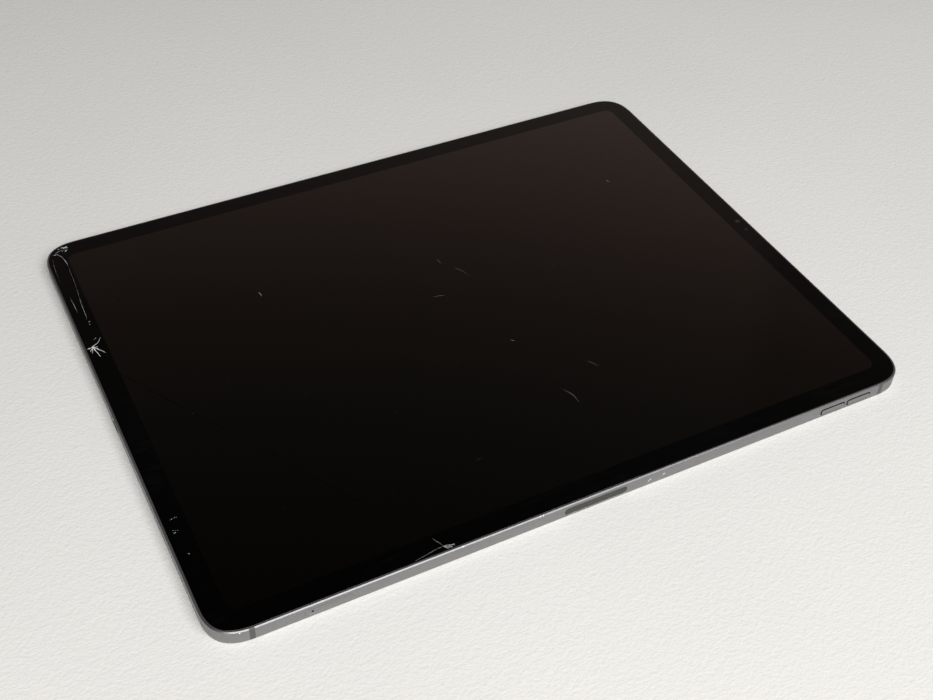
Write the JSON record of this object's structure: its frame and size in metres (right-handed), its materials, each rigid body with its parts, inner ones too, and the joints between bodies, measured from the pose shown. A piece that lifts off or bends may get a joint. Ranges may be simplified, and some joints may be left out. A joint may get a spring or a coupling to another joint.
{
  "type": "tablet computer",
  "caption": "Slim flat-sided tablet computer with a bonded glass display, side buttons, a slide-out card tray, a stylus charging window and a rear camera.",
  "frame": {"origin": "middle of the outline in plan, at the height of the rear camera ring's outer face; the back face is 1.2 mm above it", "axes": "+X along the long side to the top of the screen in portrait, +Y across the screen, +Z out of the glass; the long side with the buttons faces -Y"},
  "size_m": [0.2808, 0.2151, 0.0071],
  "materials": {
    "anodised_aluminium": "fine bead-blasted satin, dark grey anodised",
    "polished_rim": "bright cut",
    "band_polymer": "matt, darker grey than the metal",
    "window_polymer": "matt olive grey",
    "copper_wire": "enamelled copper",
    "ferrite": "matt",
    "cover_glass": "polished, scratched and cracked",
    "bezel_ink": "black print under glass",
    "gasket_polymer": "matt",
    "display_layers": "switched off, very dark brown",
    "diffuser_film": "milky",
    "sheet_steel": "rolled",
    "circuit_board": "solder mask",
    "chip_package": "moulded epoxy",
    "flex_circuit": "polyimide",
    "battery_pouch": "laminated pouch",
    "adhesive": "stretch-release strip",
    "graphite_sheet": "satin",
    "brass_standoff": "turned",
    "screw_steel": "black nickel",
    "speaker_polymer": "moulded",
    "mesh_black": "woven mesh",
    "sensor_body": "black lens barrels",
    "lens_glass": "coated",
    "flash_polymer": "diffusing",
    "gold_plate": "gold plated",
    "contact_metal": "polished",
    "nickel_magnet": "nickel plated",
    "black_plastic": "moulded",
    "antenna_board": "laminate"
  },
  "bodies": {
    "enclosure": {"rear_cover": "anodised_aluminium", "antenna_bands": "band_polymer", "charging_window": "window_polymer", "charging_coil": "copper_wire", "coil_ferrite": "ferrite", "cover_glass": "cover_glass", "bezel_print": "bezel_ink", "display_gasket": "gasket_polymer", "display_cell": "display_layers", "backlight_stack": "diffuser_film", "display_back_plate": "sheet_steel", "display_driver_board": "circuit_board", "display_flex": "flex_circuit", "battery_cell_near": "battery_pouch", "battery_cell_far": "battery_pouch", "battery_adhesive": "adhesive", "battery_board": "circuit_board", "logic_board": "circuit_board", "processor": "chip_package", "board_chips": "chip_package", "board_shields": "sheet_steel", "heat_spreader": "graphite_sheet", "board_standoffs": "brass_standoff", "board_screws": "screw_steel", "speaker_top_near": "speaker_polymer", "speaker_top_far": "speaker_polymer", "speaker_bottom_near": "speaker_polymer", "speaker_bottom_far": "speaker_polymer", "speaker_meshes": "mesh_black", "microphones": "gold_plate", "front_camera": "sensor_body", "infrared_camera": "sensor_body", "dot_projector": "sensor_body", "proximity_sensor": "sensor_body", "sensor_bracket": "sheet_steel", "rear_camera_module": "sensor_body", "camera_ring": "anodised_aluminium", "camera_lens": "lens_glass", "flash_lens": "flash_polymer", "flash_board": "circuit_board", "port_shell": "sheet_steel", "port_tongue": "black_plastic", "port_contacts": "gold_plate", "port_bracket": "sheet_steel", "port_flex": "flex_circuit", "accessory_contacts": "contact_metal", "contact_carrier": "black_plastic", "button_switches": "sheet_steel", "button_brackets": "sheet_steel", "bracket_screws": "screw_steel", "button_flex": "flex_circuit", "sim_reader": "sheet_steel", "antenna_boards": "antenna_board", "cover_magnets": "nickel_magnet", "stylus_magnets": "nickel_magnet"},
    "volume_up_button": {"volume_up_button": "anodised_aluminium"},
    "volume_down_button": {"volume_down_button": "anodised_aluminium"},
    "power_button": {"power_button": "anodised_aluminium"},
    "sim_tray": {"sim_tray": "anodised_aluminium"},
    "eject_lever": {"eject_lever": "sheet_steel"}
  },
  "joints": [
    {"name": "volume_up_press", "type": "slide", "parent": "enclosure", "child": "volume_up_button", "axis": [0, 1, 0], "range_m": [0, 0.00028], "stiffness_N_per_m": 6000},
    {"name": "volume_down_press", "type": "slide", "parent": "enclosure", "child": "volume_down_button", "axis": [0, 1, 0], "range_m": [0, 0.00028], "stiffness_N_per_m": 6000},
    {"name": "power_press", "type": "slide", "parent": "enclosure", "child": "power_button", "axis": [-1, 0, 0], "range_m": [0, 0.00028], "stiffness_N_per_m": 6000},
    {"name": "card_tray_slide", "type": "slide", "parent": "enclosure", "child": "sim_tray", "axis": [0, -1, 0], "range_m": [0, 0.014]},
    {"name": "eject_lever_turn", "type": "hinge", "parent": "enclosure", "child": "eject_lever", "pos_m": [-0.1036, -0.08965, 0.0038], "axis": [0, 0, -1], "range_deg": [0, 13]}
  ]
}
